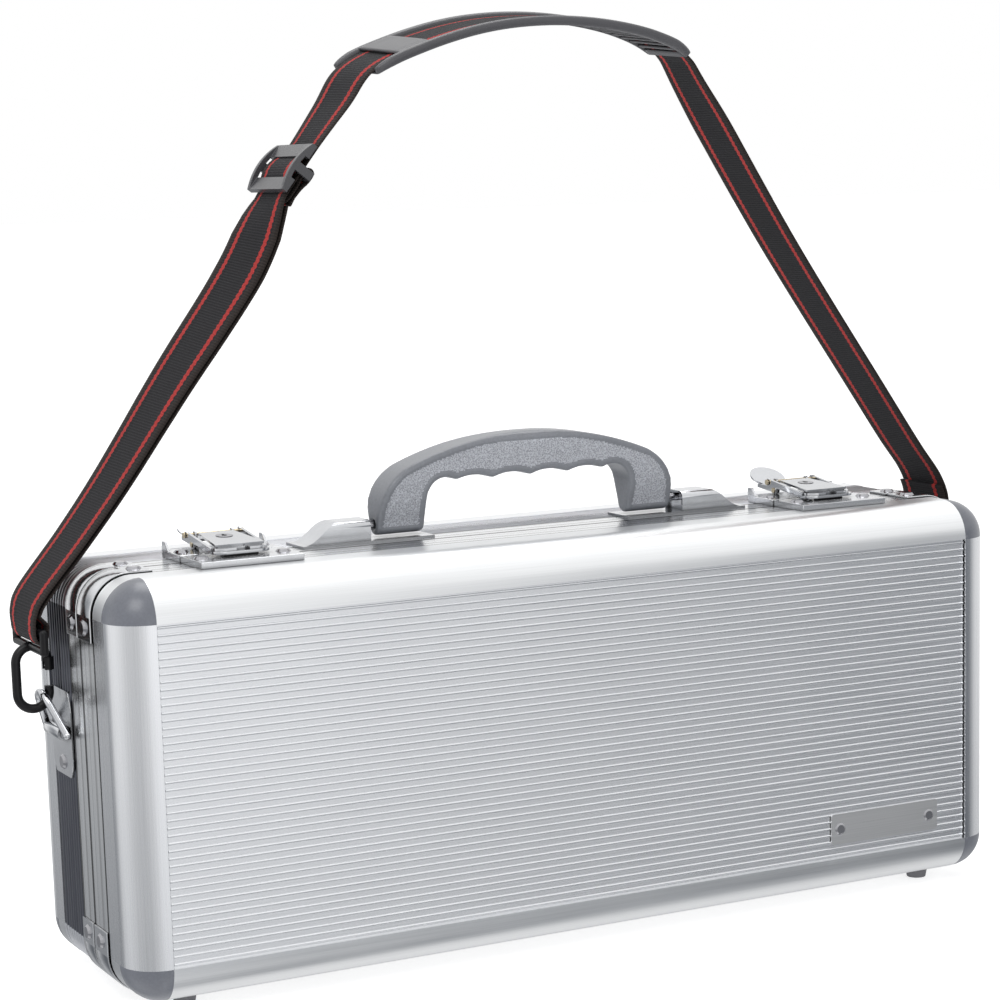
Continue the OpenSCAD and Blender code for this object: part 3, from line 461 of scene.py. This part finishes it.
def normals_of(line):
    found = []
    for i in range(len(line)):
        a, b = line[max(i - 1, 0)], line[min(i + 1, len(line) - 1)]
        dx, dz = b[0] - a[0], b[1] - a[1]
        size = math.hypot(dx, dz)
        found.append((-dz / size, dx / size))
    return found


def ease(low, high, value):
    t = min(max((value - low) / (high - low), 0), 1)
    return t * t * (3 - 2 * t)


# The strap's route, in mm: x and the height above the hook bars, near the solid's own route

RING_Y = 18.0
HOOK_X = 229.28
DRAWN_HOOK_X = 229.4
BAR_Z = 157.05
ROUTE_POINTS = [
    (-232.2, 0), (-231.8, 7), (-227.5, 15.5), (-209, 37), (-190, 61), (-161.5, 100.5), (-129, 144),
    (-113, 174), (-103.5, 187), (-82, 214), (-69, 230.5), (-45, 241), (-15, 249), (15, 252),
    (45, 250.5), (72, 245), (90, 236), (103, 217), (148, 147), (198, 76), (217.5, 48.5), (230.5, 31),
    (235, 17), (232.2, 0),
]
# the points of the route at which pieces begin, end or sit
LEFT_FOLD_END, SLIDER_POINT, PAD_START, PAD_END = 7, 8, 10, 16
RIGHT_FOLD_POINTS = 2
STEPS = 4
FINE_STEPS = 24

scaled_points = [(x * (HOOK_X / DRAWN_HOOK_X), BAR_Z + z) for x, z in ROUTE_POINTS]
route = smooth_line(scaled_points, STEPS)
fine_route = smooth_line(scaled_points, FINE_STEPS)

# the strap's lean about its own line: left of the slider by height, in degrees, and along the pad
LEANS = [(0, 0), (15, 3), (40, 4.5), (80, 8), (115, 12), (145, 13.5), (160, 12), (168, 7), (176, 0)]
PAD_LEAN = math.radians(5.9)
PAD_LOWEST = 180


def lean_at(point):
    x, up = point[0], point[1] - BAR_Z
    if up > PAD_LOWEST:
        return PAD_LEAN * ease(-98, -70, x) * (1 - ease(88, 114, x))
    if x > 0 or up <= 0:
        return 0.0
    for (low, a), (high, b) in zip(LEANS, LEANS[1:]):
        if up < high:
            return math.radians(a + (b - a) * (up - low) / (high - low))
    return 0.0


def sweep(line, section):
    """Rows of (x, y, z, u, length) along the line.

    section(i, s) gives row i, at length s, as (y, n, u) with n along the line's normal.
    """
    rows = []
    s = 0.0
    for i, (point, normal) in enumerate(zip(line, normals_of(line))):
        if i:
            s += math.dist(line[i - 1], point)
        c, r = math.cos(lean_at(point)), math.sin(lean_at(point))
        turned = [(y * c - n * r, n * c + y * r, u) for y, n, u in section(i, s)]
        rows.append([((point[0] + n * normal[0]) * MM, (RING_Y + y) * MM, (point[1] + n * normal[1]) * MM, u, s)
                     for y, n, u in turned])
    return rows


def skin(rows):
    """A closed skin over the rows."""
    count = len(rows[0])
    verts = [p[:3] for row in rows for p in row]
    uvs = [(p[3], p[4] * MM) for row in rows for p in row]
    faces = []
    for r in range(len(rows) - 1):
        for c in range(count):
            d = (c + 1) % count
            faces.append((r * count + c, r * count + d, (r + 1) * count + d, (r + 1) * count + c))
    faces.append(tuple(range(count)))
    faces.append(tuple(reversed(range((len(rows) - 1) * count, len(rows) * count))))
    return verts, faces, uvs


# The webbing and its two folds

COLUMNS = 22
RIB_PITCH = 0.62
RIB_HEIGHT = 0.10
STRIPE_HEIGHT = 0.14
EDGE_ROUND = 0.9


def webbing_section(width):
    def section(i, s):
        rib = RIB_HEIGHT * (1 if i % 2 else -1) * 0.5

        def height(f, raised):
            edge = max(0.0, 1 - (min(f, 1 - f) * width / EDGE_ROUND))
            return ((STRAP_T / 2 - RIB_HEIGHT) * math.sqrt(max(1 - edge * edge, 0.06))
                    + (rib + raised) * (1 if edge == 0 else 0.3))

        upper, lower = [], []
        for c in range(COLUMNS + 1):
            f = c / COLUMNS
            y = -(width / 2) + width * f
            raised = STRIPE_HEIGHT if abs(abs(f - 0.5) - STRIPE_AT) < STRIPE_RAISED else 0.0
            upper.append((y, height(f, raised), f))
            lower.append((y, -height(f, 0.0), f))
        return upper + lower[::-1]
    return section


def webbing_piece(name, line, body, replaced=(), width=STRAP_W):
    verts, faces, uvs = skin(sweep(resample(line, RIB_PITCH), webbing_section(width)))
    add_piece(name, verts, faces, body, webbing, replaced, uvs)


def beside(line, i, distance):
    n = normals_of(line[max(i - 1, 0):i + 2])[min(i, 1)]
    return (line[i][0] + n[0] * distance, line[i][1] + n[1] * distance)


BAR_R = 1.8
BAR_PLAY = 0.3
FOLD_STEP = STRAP_T + 0.5
FOLD_DEEP = 4.8
FOLD_START = 4


def fold_line(side):
    """From the turn round the hook bar and back along the strap's inner side."""
    x = side * HOOK_X
    r = BAR_R + BAR_PLAY + STRAP_T / 2
    turn = [(x + side * r * math.cos(math.radians(a)), BAR_Z - FOLD_DEEP * math.sin(math.radians(a)))
            for a in range(0, 181, 12)]
    rise = [(x - side * r, BAR_Z + 1.5), (x - side * r, BAR_Z + 3)]
    last = len(route) - 1
    if side < 0:
        steps = range(FOLD_START, LEFT_FOLD_END * STEPS + 1)
    else:
        steps = range(last - FOLD_START, last - RIGHT_FOLD_POINTS * STEPS, -1)
    return turn + smooth_line(rise + [beside(route, i, -FOLD_STEP) for i in steps], 4)


webbing_piece("strap_webbing_woven", fine_route, "strap", ["strap_webbing"])
webbing_piece("strap_left_fold_woven", fold_line(-1), "strap", ["strap_left_fold"])
webbing_piece("strap_right_fold_woven", fold_line(1), "strap", ["strap_right_fold"])


# The shoulder pad: two raised edges, a floor with ribbed windows near both ends, two bands over the webbing

PAD_HALF = 22.4
PAD_PITCH = 1.3
pad_line = resample(fine_route[PAD_START * FINE_STEPS:PAD_END * FINE_STEPS], PAD_PITCH)
pad_len = sum(math.dist(a, b) for a, b in zip(pad_line, pad_line[1:]))
RAIL_IN = STRAP_W / 2 + 0.6
RAIL_FORM = [
    (0, -2.1), (0, 0.5), (0.4, 1.5), (1.3, 2.1), (2.9, 2.2), (3.8, 1.8), (4.3, 0.9), (4.2, -0.8),
    (3.7, -1.7), (2.8, -2.1),
]
RAIL_WIDEST = 4.3
RAIL_LOW = 0.8
TAPER = 9.0
BRIDGES = [(12.5, 28.5), (pad_len - 28.5, pad_len - 12.5)]
FLOORS = [(0.0, 3.0), (44.0, pad_len - 44.0), (pad_len - 3.0, pad_len)]
WINDOW_RIBS = range(1, 8)
WINDOW_PITCH = 5.2


def pad_rail(side):
    """One raised edge of the pad, drawn in a little at its ends."""
    def section(i, s):
        full = min(min(s, pad_len - s) / TAPER, 1)
        wide = (PAD_HALF - RAIL_IN - 1.9 * (1 - full) ** 2) / RAIL_WIDEST
        thin = 0.7 + 0.3 * full ** 0.6
        return [(side * (RAIL_IN + y * wide), -RAIL_LOW + (n + RAIL_LOW) * thin, 0) for y, n in RAIL_FORM]
    return section


def pad_floor(i, s):
    wide = RAIL_IN + 0.2
    top, under = -0.85, -1.9
    return ([(wide * (c / 6 - 1), top, 0) for c in range(13)]
            + [(wide * (1 - c / 6), under, 0) for c in range(13)])


def pad_bridge(i, s):
    """The band that holds the webbing down, flush with both raised edges."""
    half = RAIL_IN + 2.6
    top, under = [], []
    for c in range(17):
        f = c / 8 - 1
        drop = 0.5 * max(0, abs(f) - 0.8) / 0.2
        top.append((half * f, 2.35 - drop, 0))
        under.append((half * f, 1.15, 0))
    return top + under[::-1]


def stretch(start, end):
    first, final = [min(range(len(pad_line)), key=lambda i: abs(i * PAD_PITCH - s)) for s in (start, end)]
    return pad_line[first:final + 1]


pad_parts = [(pad_line, pad_rail(-1)), (pad_line, pad_rail(1))]
pad_parts += [(stretch(*reach), pad_floor) for reach in FLOORS]
pad_parts += [(stretch(*reach), pad_bridge) for reach in BRIDGES]
for window in (FLOORS[0][1], FLOORS[1][1]):
    for k in WINDOW_RIBS:
        start = window + WINDOW_PITCH * k
        pad_parts.append((stretch(start, start + PAD_PITCH), pad_floor))
pad_verts, pad_faces = [], []
for line, section in pad_parts:
    verts, faces, _ = skin(sweep(line, section))
    offset = len(pad_verts)
    pad_verts += verts
    pad_faces += [tuple(v + offset for v in face) for face in faces]
pad = add_piece("shoulder_pad_moulded", pad_verts, pad_faces, "strap", pad_rubber, ["shoulder_pad"])


# The webbing at the slider: an arch over its middle bar, and the sewn end under it

slider_at = route[SLIDER_POINT * STEPS]
ahead, behind = route[SLIDER_POINT * STEPS + 2], route[SLIDER_POINT * STEPS - 2]
slope = math.atan2(ahead[1] - behind[1], ahead[0] - behind[0])


def at_slider(points):
    """Points given along and off the route at the slider."""
    c, s = math.cos(slope), math.sin(slope)
    return [(slider_at[0] + x * c - n * s, slider_at[1] + x * s + n * c) for x, n in points]


ARCH_HALF = 8.4
ARCH_RISE = 3.1
ARCH_FOOT = 0.55
LOOP_POINTS = [
    (-14.6, -3.7), (-11, -3.9), (-7, -4.2), (-4.5, -4.6), (-2.5, -5.1), (0, -5.3), (2.4, -5.0), (3.5, -3.7),
    (3.0, -2.1), (1.2, -1.55), (-1.2, -1.5), (-3.2, -1.8), (-5.5, -2.2), (-9.5, -2.3), (-14.6, -2.2),
]
LOOP_W = STRAP_W - 0.6
arch = [(x, ARCH_FOOT + ARCH_RISE * math.cos(math.radians(90 * x / ARCH_HALF)) ** 0.8
         if abs(x) < ARCH_HALF else ARCH_FOOT)
        for x in [i * 0.7 - ARCH_HALF for i in range(25)]]
webbing_piece("slider_webbing_arch", at_slider(arch), "slider", ["slider_loop"], width=LOOP_W)
webbing_piece("slider_webbing_end", smooth_line(at_slider(LOOP_POINTS), 4), "slider", width=LOOP_W)


# The grip, rounded off, with grained faces inside a smooth rim

GRIP_VOXEL = 0.00062
RIM_WIDTH = 1.9
RIM_SLOPE = 0.7
FACE_DEPTH = 0.45


def make_grip():
    piece = bpy.data.objects.new("handle_grip_moulded", nodes["handle_grip"].data.copy())
    bpy.context.scene.collection.objects.link(piece)
    weld = piece.modifiers.new("weld", "WELD")
    weld.merge_threshold = WELD_MM * MM
    remesh = piece.modifiers.new("remesh", "REMESH")
    remesh.mode = "VOXEL"
    remesh.voxel_size = GRIP_VOXEL
    round_off = piece.modifiers.new("round", "SMOOTH")
    round_off.factor = 0.5
    round_off.iterations = 26
    graph = bpy.context.evaluated_depsgraph_get()
    formed = bpy.data.meshes.new_from_object(piece.evaluated_get(graph))
    piece.modifiers.clear()
    piece.data = formed
    # the outline's edge: points where the surface turns away from front or back
    normals = [v.normal.copy() for v in formed.vertices]
    edge = [i for i, n in enumerate(normals) if abs(n.y) < 0.72]
    tree = kdtree.KDTree(len(edge))
    for k, i in enumerate(edge):
        tree.insert(formed.vertices[i].co, k)
    tree.balance()
    deep = [0.0] * len(formed.vertices)
    for v in formed.vertices:
        if abs(normals[v.index].y) >= 0.9:
            deep[v.index] = ease(RIM_WIDTH, RIM_WIDTH + RIM_SLOPE, tree.find(v.co)[2] / MM)
    for v in formed.vertices:
        if deep[v.index]:
            v.co.y -= FACE_DEPTH * MM * deep[v.index] * (1 if normals[v.index].y > 0 else -1)
    formed.materials.clear()
    formed.materials.append(grip_smooth)
    formed.materials.append(grip_grain)
    for polygon in formed.polygons:
        polygon.use_smooth = True
        if min(deep[i] for i in polygon.vertices) > 0.6:
            polygon.material_index = 1
    formed.update()
    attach(piece, "handle")
    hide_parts("handle_grip")


make_grip()


# Floor, light and camera

FLOOR_HALF = 20.0


def make_floor():
    mesh = bpy.data.meshes.new("floor")
    corners = [(-FLOOR_HALF, -FLOOR_HALF, 0), (FLOOR_HALF, -FLOOR_HALF, 0), (FLOOR_HALF, FLOOR_HALF, 0),
               (-FLOOR_HALF, FLOOR_HALF, 0)]
    mesh.from_pydata(corners, [], [(0, 1, 2, 3)])
    made = bpy.data.objects.new("floor", mesh)
    bpy.context.scene.collection.objects.link(made)
    look = Finish("floor_pale", (0.50, 0.50, 0.50), 0.65, Emission_Color=(1, 1, 1, 1), Emission_Strength=0.72)
    look.colour(look.mix(look.noise(3, 4.0), (0.49, 0.49, 0.49), (0.52, 0.52, 0.52)))
    mesh.materials.append(look.material)
    made.visible_glossy = False


def area_light(name, place, aim, size, power):
    data = bpy.data.lights.new(name, "AREA")
    data.energy = power
    data.size = size
    lamp = bpy.data.objects.new(name, data)
    lamp.location = place
    lamp.rotation_mode = "QUATERNION"
    lamp.rotation_quaternion = (Vector(aim) - Vector(place)).to_track_quat("-Z", "Y")
    bpy.context.scene.collection.objects.link(lamp)


# What polished metal mirrors. AROUND goes by compass direction from -X through the front, +X and the back.
# SHARE (its brightness near the ground) and ABOVE (which takes over) go by height, 0.5 being level.
AROUND = [
    (0.0, 1.10), (0.05, 0.90), (0.13, 0.80), (0.20, 1.05), (0.25, 1.42), (0.295, 1.48), (0.325, 0.82),
    (0.355, 0.22), (0.385, 0.12), (0.41, 0.40), (0.44, 0.75), (0.47, 0.98), (0.58, 1.0), (0.66, 1.0),
    (0.76, 1.05), (0.80, 0.55), (0.83, 0.32), (0.855, 0.50), (0.885, 1.10), (0.95, 1.20), (1.0, 1.10),
]
SHARE = [
    (0.0, 0.92), (0.16, 0.86), (0.24, 0.48), (0.33, 0.42), (0.37, 0.62), (0.40, 0.84), (0.43, 1.0), (1.0, 1.0),
]
ABOVE = [
    (0.0, 1.0), (0.55, 0.98), (0.62, 0.92), (0.68, 1.05), (0.74, 1.15), (0.80, 1.05), (0.88, 1.22), (1.0, 1.22),
]
ABOVE_FROM, ABOVE_FULL = 0.56, 0.68
SHADE_BLUE = 0.05


def make_world():
    """White to the camera, a little darker as soft light, and a studio of light and dark to mirror."""
    world = bpy.data.worlds.new("studio")
    world.use_nodes = True
    net = Network(world.node_tree)
    way = net.split(net.place("Generated"))
    compass = net.span(net.math("ARCTAN2", way["Y"], way["X"]), -math.pi, math.pi)
    height = net.span(way["Z"], -1, 1)
    around = net.ramp(compass, AROUND, SHADE_BLUE)
    share = net.ramp(height, SHARE, SHADE_BLUE)
    above = net.ramp(height, ABOVE, SHADE_BLUE)
    lifted = net.span(height, ABOVE_FROM, ABOVE_FULL, how="SMOOTHSTEP")
    mirrored = net.mix(lifted, net.mix(1.0, around, share, "MULTIPLY"), above)
    rays = net.node("ShaderNodeLightPath")
    soft = net.mix(rays.outputs["Is Camera Ray"], (0.72, 0.72, 0.73), (1.0, 1.0, 1.0))
    back = net.tree.nodes["Background"]
    net.link(net.mix(rays.outputs["Is Glossy Ray"], soft, mirrored), back.inputs["Color"])
    back.inputs["Strength"].default_value = 1.0
    bpy.context.scene.world = world


def make_camera():
    """The photograph's viewpoint, fitted to the corners of the case."""
    camera = bpy.data.objects.new("camera", bpy.data.cameras.new("camera"))
    bpy.context.scene.collection.objects.link(camera)
    camera.location = (-0.5544, -1.0720, 0.3432)
    camera.rotation_euler = Euler([math.radians(a) for a in (80.129, 1.552, -27.212)], "XYZ")
    camera.data.sensor_width = 36.0
    camera.data.lens = 96.42
    camera.data.shift_x = -0.0117
    camera.data.shift_y = 0.1341
    camera.data.clip_start = 0.01
    camera.data.clip_end = 100.0
    return camera


make_floor()
make_world()
area_light("key", (-1.1, -1.0, 1.7), (0, 0, 0.15), 1.1, 12)
area_light("top", (0.3, 0.5, 1.8), (0, 0, 0.1), 1.2, 12)
bpy.context.scene.camera = make_camera()
bpy.context.scene.view_settings.view_transform = "Standard"
